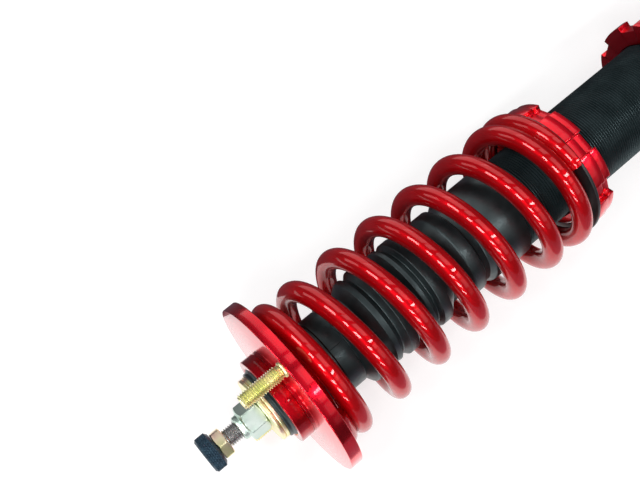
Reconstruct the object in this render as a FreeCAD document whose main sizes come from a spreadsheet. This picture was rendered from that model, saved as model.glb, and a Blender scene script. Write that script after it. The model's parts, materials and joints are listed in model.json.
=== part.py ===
import FreeCAD, Part
import math
import os
import re

import Sketcher
from FreeCAD import Placement, Rotation, Vector

# Coilover strut with a lower eye and a two-stud top mount, in millimetres.
# Origin: centre of the lower eye's bore. +Z runs up the damper's axis to the adjuster knob, and +Y is
# the axis of the eye. The two mount studs stand on the X axis. Threads are plain cylinders at their major
# size, with a small running clearance between parts that screw on each other.

# Driving dimensions: alias, value, meaning. Levels are heights above the eye's centre.
SIZES = [
    ("eye_radius", 22, "outside of the lower eye"),
    ("eye_width", 32, "width of the eye along its axis"),
    ("eye_flat_top", 26, "level where the eye's flat sides end"),
    ("eye_bore", 17, "bore radius that holds the rubber bush"),
    ("eye_bush_length", 31, "rubber bush, length"),
    ("eye_sleeve_outer", 9, "steel sleeve, outside radius"),
    ("eye_sleeve_bore", 6.1, "steel sleeve, bolt hole radius"),
    ("eye_sleeve_length", 38, "steel sleeve, length"),
    ("run_gap", 0.05, "radial clearance of running fits"),
    ("bracket_radius", 32, "outside radius of the bracket's socket"),
    ("bracket_top", 92, "level of the bracket's upper face"),
    ("socket_floor", 40, "level of the floor of the threaded socket"),
    ("socket_chamfer", 1.2, "chamfers at the mouth of that socket"),
    ("neck_radius", 19, "radius of the bracket where it meets the eye"),
    ("neck_level", 17, "level where the bracket starts to widen"),
    ("shoulder_level", 36, "level where the bracket reaches full radius"),
    ("thread_radius", 25, "major radius of the body thread, M50 x 1.5"),
    ("lower_ring_height", 8, "lower lock ring, height"),
    ("ring_radius", 37.5, "outside radius of both lock rings"),
    ("tube_base", 50, "level of the body tube's lower end"),
    ("tube_length", 204, "length of the body tube"),
    ("tube_bore", 22, "bore radius of the body tube"),
    ("tube_lead", 1.7, "lead-in chamfer at the body tube's upper end"),
    ("base_cap_height", 12, "base cap, height"),
    ("filler_radius", 4, "gas filler plug, radius"),
    ("floating_level", 122, "level of the floating piston's lower face"),
    ("floating_height", 14, "floating piston, height"),
    ("floating_dish", 17, "radius of the dish in its upper face"),
    ("seal_ring_height", 3, "O-ring groove height"),
    ("seal_ring_depth", 1.8, "O-ring groove depth"),
    ("head_height", 17, "seal head, height"),
    ("gland_height", 3, "gland ring above the seal head, height"),
    ("oil_seal_radius", 11, "oil seal, outside radius"),
    ("wiper_radius", 10, "wiper seal, outside radius"),
    ("seal_height", 5, "oil seal and wiper seal, height"),
    ("wiper_lip", 1.6, "height of the wiper's lip above the seal head"),
    ("head_groove", 7, "height of the O-ring groove above the seal head's lower face"),
    ("rod_radius", 6.25, "piston rod radius"),
    ("rod_bore", 2.6, "bore of the hollow piston rod"),
    ("rod_foot", 205, "level of the rod's lower end"),
    ("spigot_radius", 4, "rod's lower threaded spigot, M8"),
    ("piston_level", 215.6, "level of the piston's lower face"),
    ("piston_height", 14, "piston, height"),
    ("shim_stack", 1.6, "thickness of each shim stack"),
    ("shim_radius", 15.5, "outside radius of the shims"),
    ("band_height", 8, "piston band, height"),
    ("band_depth", 1, "piston band, radial thickness"),
    ("port_radius", 1.8, "piston port radius"),
    ("port_circle", 12.5, "radius of the circle of piston ports"),
    ("piston_nut_height", 6.5, "piston nut, height"),
    ("piston_nut_across", 13, "piston nut, across flats"),
    ("bumper_radius", 12, "rebound bumper, outside radius"),
    ("bumper_height", 2.7, "rebound bumper, height"),
    ("stem_shoulder", 357.2, "level of the rod's upper shoulder"),
    ("stem_radius", 4.95, "rod's threaded stem, M10 x 1.25"),
    ("stem_top", 414.1, "level of the stem's upper end"),
    ("socket_radius", 3.4, "socket in the stem for the adjuster housing"),
    ("socket_depth", 10, "depth of that socket"),
    ("bump_length", 35.5, "bump stop, length"),
    ("bump_radius", 16, "bump stop, largest radius"),
    ("bump_fold", 4, "bump stop, depth of its folds"),
    ("carrier_height", 14.2, "boot carrier, height"),
    ("carrier_radius", 20.9, "boot carrier, outside radius"),
    ("carrier_wall", 2.2, "boot carrier, wall"),
    ("carrier_web", 5.2, "boot carrier, thickness of its top"),
    ("boot_top", 350.7, "level of the boot's upper edge"),
    ("boot_wall", 0.9, "boot wall"),
    ("washer_radius", 18.4, "upper bush washers, outside radius"),
    ("lower_washer_radius", 19, "lower bush washer, outside radius"),
    ("washer_thick", 2.1, "bush washer thickness"),
    ("sleeve_radius", 7.5, "crush sleeve, outside radius"),
    ("bush_radius", 20.4, "rubber bush radius in the mount"),
    ("bush_height", 11.7, "upper bush, height above the mount's web"),
    ("bush_waist", 1.1, "how far the bushes' outer ends stand in from the mount's bore"),
    ("bush_shoulder", 8.2, "level on the upper bush where it starts to narrow"),
    ("bush_taper", 1.4, "height over which it narrows"),
    ("bush_nose", 11, "radius of the bush noses in the mount's web"),
    ("bush_nose_length", 2.4, "length of each bush nose"),
    ("nut_across", 17.4, "lock nut, across flats"),
    ("nut_height", 10.7, "lock nut, height of its hexagon"),
    ("collar_radius", 6.65, "lock nut collar, outside radius"),
    ("collar_height", 3.3, "lock nut collar, height"),
    ("insert_radius", 5.9, "nylon insert, outside radius"),
    ("insert_height", 2.4, "nylon insert, height"),
    ("housing_across", 14.2, "adjuster housing, across flats"),
    ("housing_height", 5.3, "adjuster housing, height of its hexagon"),
    ("needle_radius", 1.5, "adjuster needle rod, radius"),
    ("needle_foot", 236, "level of the needle's lower end"),
    ("needle_taper", 3, "length of the needle's point"),
    ("knob_radius", 9.8, "adjuster knob, radius"),
    ("knob_level", 419.7, "level of the knob's underside"),
    ("knob_height", 7.4, "adjuster knob, height"),
    ("knob_bevel", 1.6, "width of the bevel round the knob's underside"),
    ("knob_bore_depth", 5, "depth of the needle hole in the knob"),
    ("grub_radius", 1.5, "grub screw, radius"),
    ("grub_length", 6, "grub screw, length"),
    ("ball_radius", 0.8, "click detent ball, radius"),
    ("detent_circle", 5.1, "distance of the detent ball from the axis"),
    ("plate_level", 369.3, "level of the mount plate's underside, the spring's upper seat"),
    ("plate_radius", 50.5, "mount plate, radius"),
    ("plate_thick", 7, "mount plate, thickness"),
    ("hub_radius", 25, "mount hub, radius"),
    ("hub_height", 9.4, "mount hub, height above the plate"),
    ("hub_groove_radius", 24.2, "radius of the groove round the foot of the hub"),
    ("hub_groove_low", 1.6, "lower edge of that groove above the plate"),
    ("hub_groove_high", 2.3, "upper edge of that groove above the plate"),
    ("lip_radius", 30.4, "spring locating lip, radius"),
    ("lip_height", 5, "spring locating lip, height"),
    ("web_low", 2.2, "web of the mount, lower face above the plate's underside"),
    ("web_high", 7.2, "web of the mount, upper face above the plate's underside"),
    ("stud_circle", 42, "radius of the stud circle"),
    ("stud_radius", 4, "mount stud radius, M8 x 1.25"),
    ("stud_length", 31.2, "mount stud, whole length"),
    ("stud_tip", 0.9, "chamfer at the stud's tip"),
    ("shoulder_radius", 4.2, "serrated shoulder of the stud, pressed through the plate, radius"),
    ("shoulder_rise", 1.6, "height of that shoulder above the plate"),
    ("stud_head_radius", 6.2, "mount stud, head radius"),
    ("stud_head_height", 2.5, "mount stud, head height"),
    ("seat_level", 191.9, "level of the spring's lower seat"),
    ("isolator_thick", 1.8, "thrust ring, thickness"),
    ("isolator_radius", 39.6, "thrust ring, outside radius"),
    ("collar_thick", 7.5, "perch collar, height of its flange"),
    ("perch_radius", 38.5, "perch collar, outside radius"),
    ("perch_step", 4, "height of the perch collar's step inside the spring"),
    ("lock_thick", 5, "perch lock ring, height"),
    ("slot_width", 11, "spanner slot, width"),
    ("slot_depth", 3.5, "spanner slot, depth"),
    ("upper_slot_angle", 33, "direction of a spanner slot in the perch collar and its lock ring"),
    ("lower_slot_angle", 10, "direction of a spanner slot in the lower lock ring"),
    ("edge_break", 0.6, "small chamfer on turned edges"),
    ("corner_trim", 0.2, "how far the corners of the hexagons are rounded off"),
    ("wire_radius", 5.5, "spring wire radius"),
    ("coil_radius", 36.5, "mean radius of the spring"),
    ("coil_pitch", 26.9, "pitch of the active turns"),
    ("active_half", 2.95, "active turns on each side of the spring's middle"),
    ("end_turns", 1.007, "turns of each closed end"),
    ("end_pitch", 11.3, "pitch of the closed ends"),
    ("coil_angle", -38.6, "direction of the wire at the spring's middle"),
]

SLOT_COUNT = 8
PORT_COUNT = 6
HEX_SIDES = 6

# Outline of the boot: distance below its upper edge, outside radius.
BOOT_OUTLINE = [
    (0, 21.9), (9.4, 21.9), (10.2, 20.6), (14.3, 27.0), (17.5, 23.0), (21.2, 20.4), (25.2, 22.5),
    (29.6, 26.0), (33.3, 23.6), (39.7, 27.0), (46.5, 20.6), (53.1, 26.6), (56.8, 23.6), (60.5, 26.8),
    (65.0, 26.4), (71.0, 20.8), (76.5, 21.4), (83.1, 25.7), (90.0, 25.7), (92.0, 23.2), (95.4, 23.2),
    (98.4, 26.3), (122.6, 26.3),
]

doc = FreeCAD.newDocument("coilover")
sheet = doc.addObject("Spreadsheet::Sheet", "Sizes")
subparts = []


def fill_sheet():
    """Write the driving dimensions into the sheet and give each cell its alias."""
    for row, (alias, value, meaning) in enumerate(SIZES, start=1):
        sheet.set(f"A{row}", alias)
        sheet.set(f"B{row}", str(value))
        sheet.set(f"C{row}", meaning)
        sheet.setAlias(f"B{row}", alias)
    doc.recompute()


def bound(expression):
    """The same expression as seen from outside the sheet."""
    return re.sub(r"[a-z][a-z_]*", r"Sizes.\g<0>", str(expression))


def size(expression):
    """The value of an expression in the sheet's aliases."""
    return float(sheet.evalExpression(str(expression)))


def listed(part, label):
    """Name a finished sub-part and put it on the list of parts to write."""
    part.Label = label
    subparts.append(part)
    return part


def set_level(part, level, angle="0"):
    """Stand a part at a level, turned about Z by an angle in degrees."""
    part.Placement = Placement(Vector(0, 0, 0), Rotation(Vector(0, 0, 1), 1))
    part.setExpression("Placement.Base.z", bound(level))
    part.setExpression("Placement.Rotation.Angle", f"({bound(angle)}) * 1 deg")


def bind(part, **expressions):
    """Bind properties of a part to expressions in the sheet's aliases."""
    for name, expression in expressions.items():
        part.setExpression(name, bound(expression))


def origin_plane(body, role):
    """One of a body's own origin planes."""
    return [feature for feature in body.Origin.OriginFeatures if feature.Role == role][0]


def new_sketch(body, name, role):
    """An empty sketch on one of the body's origin planes."""
    sketch = body.newObject("Sketcher::SketchObject", name)
    sketch.AttachmentSupport = (origin_plane(body, role), [""])
    sketch.MapMode = "FlatFace"
    return sketch


def add_outline(sketch, points):
    """Add a closed outline whose corners are bound to expressions in the sheet."""
    first = sketch.GeometryCount
    count = len(points)
    corners = [Vector(size(across), size(up), 0) for across, up in points]
    for index, corner in enumerate(corners):
        sketch.addGeometry(Part.LineSegment(corner, corners[(index + 1) % count]))
    for index in range(count):
        following = (index + 1) % count
        sketch.addConstraint(Sketcher.Constraint("Coincident", first + index, 2, first + following, 1))
    for index, corner in enumerate(corners):
        for direction, value, expression in zip(("X", "Y"), corner, points[index]):
            place_corner(sketch, first + index, direction, value, expression)


def place_corner(sketch, edge, direction, value, expression):
    """Fix one coordinate of an edge's start point: on the axis, or at a bound distance from the origin."""
    if value == 0:
        axis = {"X": -2, "Y": -1}[direction]
        sketch.addConstraint(Sketcher.Constraint("PointOnObject", edge, 1, axis))
        return
    constraint = Sketcher.Constraint(f"Distance{direction}", -1, 1, edge, 1, value)
    number = sketch.addConstraint(constraint)
    sketch.setExpression(f"Constraints[{number}]", bound(expression))


def add_circle(sketch, radius, across="0"):
    """Add a circle of a bound radius, centred on the sketch's first axis."""
    centre = Vector(size(across), 0, 0)
    number = sketch.addGeometry(Part.Circle(centre, Vector(0, 0, 1), size(radius)))
    limit = sketch.addConstraint(Sketcher.Constraint("Radius", number, size(radius)))
    sketch.setExpression(f"Constraints[{limit}]", bound(radius))
    sketch.addConstraint(Sketcher.Constraint("PointOnObject", number, 3, -1))
    place_centre(sketch, number, centre.x, across)


def place_centre(sketch, number, value, expression):
    """Fix a circle's centre along the sketch's first axis."""
    if value == 0:
        sketch.addConstraint(Sketcher.Constraint("PointOnObject", number, 3, -2))
        return
    limit = sketch.addConstraint(Sketcher.Constraint("DistanceX", -1, 1, number, 3, value))
    sketch.setExpression(f"Constraints[{limit}]", bound(expression))


def turned(label, outline, level="0", angle="0"):
    """A body turned about Z from an outline of (radius, height) corners."""
    body = doc.addObject("PartDesign::Body", label)
    sketch = new_sketch(body, f"{label}_outline", "XZ_Plane")
    add_outline(sketch, outline)
    turning = body.newObject("PartDesign::Revolution", f"{label}_turning")
    turning.Profile = sketch
    turning.ReferenceAxis = (sketch, ["V_Axis"])
    turning.Angle = 360
    set_level(body, level, angle)
    doc.recompute()
    return listed(body, label)


def ring_outline(inner, outer, height):
    """Outline of a plain ring."""
    return [(inner, "0"), (outer, "0"), (outer, height), (inner, height)]


def broken_ring_outline(inner, outer, height):
    """Outline of a ring with its two outer edges broken."""
    rim = f"{outer} - edge_break"
    side = f"{height} - edge_break"
    return [(inner, "0"), (rim, "0"), (outer, "edge_break"), (outer, side), (rim, height), (inner, height)]


def pocket(body, sketch, length, both_ways=False):
    """Cut a sketch out of the body, upwards from its plane or both ways from it."""
    before = body.Shape.Volume
    cut = body.newObject("PartDesign::Pocket", f"{sketch.Name}_pocket")
    cut.Profile = sketch
    cut.Reversed = True
    cut.Midplane = both_ways
    cut.Length = size(length)
    cut.setExpression("Length", bound(length))
    doc.recompute()
    if body.Shape.Volume >= before:
        raise RuntimeError(f"{cut.Name} cuts nothing")
    return cut


def repeat(body, feature, sketch, count):
    """Repeat a feature evenly about Z."""
    before = body.Shape.Volume
    pattern = body.newObject("PartDesign::PolarPattern", f"{feature.Name}_pattern")
    pattern.Originals = [feature]
    pattern.Axis = (sketch, ["N_Axis"])
    pattern.Angle = 360
    pattern.Occurrences = count
    body.Tip = pattern
    doc.recompute()
    if body.Shape.Volume >= before:
        raise RuntimeError(f"{pattern.Name} repeats nothing")


def cut_spanner_slots(body, outer, height):
    """Cut the spanner slots round a ring, over a given height from its underside."""
    sketch = new_sketch(body, f"{body.Name}_slot", "XY_Plane")
    half = "slot_width / 2"
    floor = f"{outer} - slot_depth"
    past = f"{outer} + slot_depth"
    add_outline(sketch, [(floor, f"-{half}"), (past, f"-{half}"), (past, half), (floor, half)])
    slot = pocket(body, sketch, height)
    repeat(body, slot, sketch, SLOT_COUNT)


def hexagon(name, across, height, level):
    """A hexagonal bar with its corners rounded off."""
    bar = doc.addObject("Part::Prism", f"{name}_bar")
    bar.Polygon = HEX_SIDES
    bind(bar, Circumradius=f"{across} / (3 ^ 0.5)", Height=height)
    barrel = doc.addObject("Part::Cylinder", f"{name}_barrel")
    bind(barrel, Radius=f"{across} / (3 ^ 0.5) - corner_trim", Height=height)
    blank = doc.addObject("Part::Common", f"{name}_blank")
    blank.Base = bar
    blank.Tool = barrel
    for tool in (bar, barrel):
        tool.setExpression("Placement.Base.z", bound(level))
    return blank


def cylinder(name, radius, height, level):
    """A plain cylinder on the Z axis."""
    rod = doc.addObject("Part::Cylinder", name)
    bind(rod, Radius=radius, Height=height)
    rod.setExpression("Placement.Base.z", bound(level))
    return rod


def cut(name, base, *tools):
    """Cut several tools out of a base, one after the other."""
    for number, tool in enumerate(tools):
        result = doc.addObject("Part::Cut", f"{name}_cut{number}")
        result.Base = base
        result.Tool = tool
        base = result
    return base


def fuse(name, *shapes):
    """Join several shapes."""
    joined = doc.addObject("Part::MultiFuse", name)
    joined.Shapes = list(shapes)
    return joined


# Lower end


def lower_bracket():
    """Forged foot of the bracket: the eye for the rubber bush and the floor of the socket."""
    body = turned("lower_bracket", [
        ("0", "eye_radius / 2"),
        ("neck_radius", "eye_radius / 2"),
        ("neck_radius", "neck_level"),
        ("bracket_radius", "shoulder_level"),
        ("bracket_radius", "socket_floor"),
        ("0", "socket_floor"),
    ])
    side = new_sketch(body, "eye_outline", "XZ_Plane")
    add_circle(side, "eye_radius")
    pad = body.newObject("PartDesign::Pad", "eye_pad")
    pad.Profile = side
    pad.Midplane = True
    pad.setExpression("Length", bound("eye_width"))
    doc.recompute()
    flats = new_sketch(body, "eye_flats", "YZ_Plane")
    for sign in ("", "-"):
        near = f"{sign}eye_width / 2"
        far = f"{sign}(eye_width / 2 + bracket_radius)"
        add_outline(flats, [(near, "-eye_radius"), (far, "-eye_radius"), (far, "eye_flat_top"),
                            (near, "eye_flat_top")])
    pocket(body, flats, "bracket_radius * 3", both_ways=True)
    bore = new_sketch(body, "eye_bore_outline", "XZ_Plane")
    add_circle(bore, "eye_bore")
    pocket(body, bore, "eye_width * 2", both_ways=True)


def bracket_socket():
    """Threaded socket for the body tube, welded on the foot."""
    height = "bracket_top - socket_floor"
    turned("bracket_socket", [
        ("thread_radius", "0"),
        ("bracket_radius", "0"),
        ("bracket_radius", f"{height} - socket_chamfer"),
        ("bracket_radius - socket_chamfer", height),
        ("thread_radius + socket_chamfer", height),
        ("thread_radius", f"{height} - socket_chamfer"),
    ], "socket_floor")


def across_eye(label, inner, outer, length):
    """A ring on the eye's axis, centred on the origin."""
    body = turned(label, [
        (inner, f"-{length} / 2"),
        (f"{outer} - edge_break", f"-{length} / 2"),
        (outer, f"-{length} / 2 + edge_break"),
        (outer, f"{length} / 2 - edge_break"),
        (f"{outer} - edge_break", f"{length} / 2"),
        (inner, f"{length} / 2"),
    ])
    body.setExpression("Placement.Rotation.Angle", None)
    body.Placement = Placement(Vector(0, 0, 0), Rotation(Vector(1, 0, 0), -90))


def lower_eye():
    """Rubber bush and steel sleeve of the lower eye."""
    across_eye("eye_bush", "eye_sleeve_outer + run_gap", "eye_bore", "eye_bush_length")
    across_eye("eye_sleeve", "eye_sleeve_bore", "eye_sleeve_outer", "eye_sleeve_length")


def lower_lock_ring():
    """Slotted ring that locks the bracket on the body tube."""
    outline = broken_ring_outline("thread_radius", "ring_radius", "lower_ring_height")
    ring = turned("lower_lock_ring", outline, "bracket_top", "lower_slot_angle")
    cut_spanner_slots(ring, "ring_radius", "lower_ring_height")


# Body tube and what it holds


def threaded_tube():
    """Steel body tube, threaded over its whole length."""
    outer = "thread_radius - run_gap"
    turned("threaded_tube", [
        ("tube_bore", "0"),
        (f"{outer} - edge_break", "0"),
        (outer, "edge_break"),
        (outer, "tube_length - tube_lead"),
        (f"{outer} - tube_lead", "tube_length"),
        ("tube_bore", "tube_length"),
    ], "tube_base")


def base_cap():
    """Cap that closes the tube's lower end, with its gas filler plug."""
    bore = "filler_radius"
    turned("base_cap", ring_outline(bore, "tube_bore - run_gap", "base_cap_height"), "tube_base")
    turned("gas_filler_plug", [("0", "0"), (bore, "0"), (bore, "base_cap_height"), ("0", "base_cap_height")],
           "tube_base")


def floating_piston():
    """Divider between the gas and the oil, and the ring that seals it."""
    outer = "tube_bore - run_gap"
    groove = f"{outer} - seal_ring_depth"
    low = "(floating_height - seal_ring_height) / 2"
    high = "(floating_height + seal_ring_height) / 2"
    turned("floating_piston", [
        ("0", "0"),
        (outer, "0"), (outer, low), (groove, low), (groove, high), (outer, high), (outer, "floating_height"),
        ("floating_dish", "floating_height"),
        ("floating_dish", "floating_height / 2 + 1"),
        ("0", "floating_height / 2 + 1"),
    ], "floating_level")
    turned("floating_piston_ring", ring_outline(groove, outer, "seal_ring_height"), f"floating_level + {low}")


def seal_head():
    """Rod guide at the top of the tube, its seals and the gland ring that holds it in."""
    level = "tube_base + tube_length - gland_height - head_height"
    bore = "rod_radius + run_gap"
    groove = "tube_bore - seal_ring_depth"
    top = "head_height - seal_height"
    turned("seal_head", [
        ("oil_seal_radius", "0"),
        ("tube_bore", "0"),
        ("tube_bore", "head_groove"),
        (groove, "head_groove"),
        (groove, "head_groove + seal_ring_height"),
        ("tube_bore", "head_groove + seal_ring_height"),
        ("tube_bore", "head_height"),
        ("wiper_radius", "head_height"),
        ("wiper_radius", top),
        (bore, top),
        (bore, "seal_height"),
        ("oil_seal_radius", "seal_height"),
    ], level)
    turned("oil_seal", ring_outline(bore, "oil_seal_radius", "seal_height"), level)
    turned("head_seal_ring", ring_outline(groove, "tube_bore", "seal_ring_height"), f"{level} + head_groove")
    turned("wiper_seal", [
        (bore, "0"),
        ("wiper_radius", "0"),
        ("wiper_radius", "seal_height"),
        ("wiper_radius - 1", "seal_height"),
        (f"{bore} + wiper_lip / 2", "seal_height + wiper_lip"),
        (bore, "seal_height + wiper_lip"),
    ], f"{level} + {top}")
    turned("gland_ring", ring_outline("wiper_radius + 2", "tube_bore", "gland_height"), f"{level} + head_height")


# Piston rod and what it carries


def piston_rod():
    """Hollow chromed rod with a threaded spigot below and a threaded stem above."""
    turned("piston_rod", [
        ("rod_bore", "0"),
        ("spigot_radius", "0"),
        ("spigot_radius", "piston_level + piston_height + shim_stack - rod_foot"),
        ("rod_radius", "piston_level + piston_height + shim_stack - rod_foot"),
        ("rod_radius", "stem_shoulder - rod_foot"),
        ("stem_radius", "stem_shoulder - rod_foot"),
        ("stem_radius", "stem_top - rod_foot"),
        ("socket_radius", "stem_top - rod_foot"),
        ("socket_radius", "stem_top - rod_foot - socket_depth"),
        ("rod_bore", "stem_top - rod_foot - socket_depth"),
    ], "rod_foot")


def piston():
    """Ported piston with its band, a shim stack on each face and the nut below."""
    outer = "tube_bore - run_gap * 6"
    groove = "tube_bore - run_gap - band_depth"
    low = "(piston_height - band_height) / 2"
    high = "(piston_height + band_height) / 2"
    body = turned("piston", [
        ("spigot_radius", "0"),
        (outer, "0"), (outer, low), (groove, low), (groove, high), (outer, high), (outer, "piston_height"),
        ("spigot_radius", "piston_height"),
    ], "piston_level")
    ports = new_sketch(body, "port_outline", "XY_Plane")
    add_circle(ports, "port_radius", "port_circle")
    repeat(body, pocket(body, ports, "piston_height"), ports, PORT_COUNT)
    band = ring_outline(groove, "tube_bore - run_gap", "band_height")
    turned("piston_band", band, f"piston_level + {low}")
    shims = ring_outline("spigot_radius", "shim_radius", "shim_stack")
    turned("rebound_shims", shims, "piston_level + piston_height")
    turned("compression_shims", shims, "piston_level - shim_stack")
    level = "piston_level - shim_stack - piston_nut_height"
    blank = hexagon("piston_nut", "piston_nut_across", "piston_nut_height", level)
    hole = cylinder("piston_nut_hole", "spigot_radius", "piston_nut_height", level)
    listed(cut("piston_nut", blank, hole), "piston_nut")


def rod_stops():
    """Rebound bumper, bump stop and the cap that carries the boot."""
    bumper = ring_outline("rod_radius", "bumper_radius", "bumper_height")
    turned("rebound_bumper", bumper, "piston_level + piston_height + shim_stack")
    cap_level = "stem_shoulder - carrier_height"
    waist = "bump_radius - bump_fold"
    turned("bump_stop", [
        ("rod_radius", "0"),
        (f"{waist} - bump_fold / 2", "0"),
        (waist, "bump_length * 0.14"),
        (f"{waist} - bump_fold / 2", "bump_length * 0.26"),
        ("bump_radius - bump_fold / 4", "bump_length * 0.4"),
        (waist, "bump_length * 0.52"),
        ("bump_radius", "bump_length * 0.65"),
        ("bump_radius", "bump_length"),
        ("rod_radius", "bump_length"),
    ], f"{cap_level} + carrier_height - carrier_web - bump_length")
    web = "carrier_height - carrier_web"
    turned("boot_carrier", [
        ("rod_radius", web),
        ("carrier_radius - carrier_wall", web),
        ("carrier_radius - carrier_wall", "0"),
        ("carrier_radius", "0"),
        ("carrier_radius", "carrier_height - edge_break"),
        ("carrier_radius - edge_break", "carrier_height"),
        ("rod_radius", "carrier_height"),
    ], cap_level)


def dust_boot():
    """Ribbed rubber boot: the same wall follows its outline from the collar down to the skirt."""
    outside = [(str(radius), f"-{depth}") for depth, radius in BOOT_OUTLINE]
    inside = [(f"{radius} - boot_wall", f"-{depth}") for depth, radius in reversed(BOOT_OUTLINE)]
    turned("dust_boot", outside + inside, "boot_top")


def mount_clamp():
    """Washers, crush sleeve and lock nut that clamp the rubber bushes on the stem."""
    lower = ring_outline("stem_radius", "lower_washer_radius", "washer_thick")
    turned("bush_washer_lower", lower, "stem_shoulder")
    sleeve_level = "stem_shoulder + washer_thick"
    sleeve_length = "(plate_level + web_high + bush_height - stem_shoulder - washer_thick)"
    turned("crush_sleeve", ring_outline("stem_radius", "sleeve_radius", sleeve_length), sleeve_level)
    upper_level = f"{sleeve_level} + {sleeve_length}"
    upper = broken_ring_outline("stem_radius", "washer_radius", "washer_thick")
    turned("bush_washer_upper", upper, upper_level)
    turned("nut_washer", upper, f"{upper_level} + washer_thick")
    nut_level = f"{upper_level} + washer_thick * 2"
    blank = hexagon("lock_nut", "nut_across", "nut_height", nut_level)
    collar = cylinder("lock_nut_collar", "collar_radius", "nut_height + collar_height", nut_level)
    hole = cylinder("lock_nut_hole", "stem_radius", "nut_height + collar_height", nut_level)
    insert_level = f"{nut_level} + nut_height + collar_height - insert_height - edge_break"
    seat = cylinder("lock_nut_seat", "insert_radius", "insert_height", insert_level)
    listed(cut("lock_nut", fuse("lock_nut_solid", blank, collar), hole, seat), "lock_nut")
    turned("nylon_insert", ring_outline("stem_radius", "insert_radius", "insert_height"), insert_level)


def adjuster():
    """Rebound adjuster: hexagonal housing in the stem, needle rod, knob, grub screw and detent ball."""
    blank = hexagon("adjuster_housing", "housing_across", "housing_height", "stem_top")
    spigot = cylinder("housing_spigot", "socket_radius", "socket_depth + 1", "stem_top - socket_depth")
    hole = cylinder("housing_hole", "needle_radius + run_gap", "socket_depth + housing_height",
                    "stem_top - socket_depth")
    pit = doc.addObject("Part::Cylinder", "detent_pit")
    bind(pit, Radius="ball_radius", Height="ball_radius * 3")
    pit.Placement.Base.x = size("detent_circle")
    pit.setExpression("Placement.Base.z", bound("stem_top + housing_height - ball_radius * 3"))
    listed(cut("adjuster_housing", fuse("housing_solid", blank, spigot), hole, pit), "adjuster_housing")
    ball = doc.addObject("Part::Sphere", "detent_ball")
    bind(ball, Radius="ball_radius")
    ball.Placement.Base.x = pit.Placement.Base.x
    ball.setExpression("Placement.Base.z", bound("knob_level - ball_radius - run_gap"))
    listed(ball, "detent_ball")
    top = "knob_level + knob_bore_depth - needle_foot"
    turned("adjuster_needle", [("0", "0"), ("needle_radius", "needle_taper"), ("needle_radius", top), ("0", top)],
           "needle_foot")
    knob = turned("adjuster_knob", [
        ("needle_radius", "0"),
        ("knob_radius - knob_bevel", "0"),
        ("knob_radius", "knob_bevel * 0.75"),
        ("knob_radius", "knob_height - knob_bevel / 2"),
        ("knob_radius - knob_bevel / 2", "knob_height"),
        ("0", "knob_height"),
        ("0", "knob_bore_depth"),
        ("needle_radius", "knob_bore_depth"),
    ], "knob_level")
    cross = new_sketch(knob, "grub_outline", "YZ_Plane")
    height = "knob_bore_depth * 0.62"
    number = cross.addGeometry(Part.Circle(Vector(0, size(height), 0), Vector(0, 0, 1), size("grub_radius")))
    radius = cross.addConstraint(Sketcher.Constraint("Radius", number, size("grub_radius")))
    cross.setExpression(f"Constraints[{radius}]", bound("grub_radius"))
    cross.addConstraint(Sketcher.Constraint("PointOnObject", number, 3, -2))
    rise = cross.addConstraint(Sketcher.Constraint("DistanceY", -1, 1, number, 3, size(height)))
    cross.setExpression(f"Constraints[{rise}]", bound(height))
    pocket(knob, cross, "knob_radius + 1")
    grub = doc.addObject("Part::Cylinder", "grub_screw")
    bind(grub, Radius="grub_radius", Height="grub_length")
    grub.Placement = Placement(Vector(size("needle_radius + 0.2"), 0, 0), Rotation(Vector(0, 1, 0), 90))
    grub.setExpression("Placement.Base.z", bound(f"knob_level + {height}"))
    listed(grub, "grub_screw")


# Top mount


def top_mount():
    """Turned mount: hub and plate in one piece, with a seat for a rubber bush on each side of its web."""
    body = turned("top_mount", [
        ("bush_radius", "-lip_height"),
        ("lip_radius - edge_break * 2", "-lip_height"),
        ("lip_radius", "edge_break * 2 - lip_height"),
        ("lip_radius", "0"),
        ("plate_radius - edge_break", "0"),
        ("plate_radius", "edge_break"),
        ("plate_radius", "plate_thick - edge_break"),
        ("plate_radius - edge_break", "plate_thick"),
        ("hub_radius", "plate_thick"),
        ("hub_radius", "plate_thick + hub_groove_low"),
        ("hub_groove_radius", "plate_thick + hub_groove_low"),
        ("hub_groove_radius", "plate_thick + hub_groove_high"),
        ("hub_radius", "plate_thick + hub_groove_high"),
        ("hub_radius", "plate_thick + hub_height - edge_break"),
        ("hub_radius - edge_break", "plate_thick + hub_height"),
        ("bush_radius + edge_break * 2", "plate_thick + hub_height"),
        ("bush_radius", "plate_thick + hub_height - edge_break * 2"),
        ("bush_radius", "web_high"),
        ("bush_nose", "web_high"),
        ("bush_nose", "web_low"),
        ("bush_radius", "web_low"),
    ], "plate_level")
    for name, radius, height in (("stud_hole", "shoulder_radius", "plate_thick"),
                                 ("stud_head_hole", "stud_head_radius", "stud_head_height")):
        holes = new_sketch(body, name, "XY_Plane")
        for side in ("", "-"):
            add_circle(holes, radius, f"{side}stud_circle")
        pocket(body, holes, height)


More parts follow.
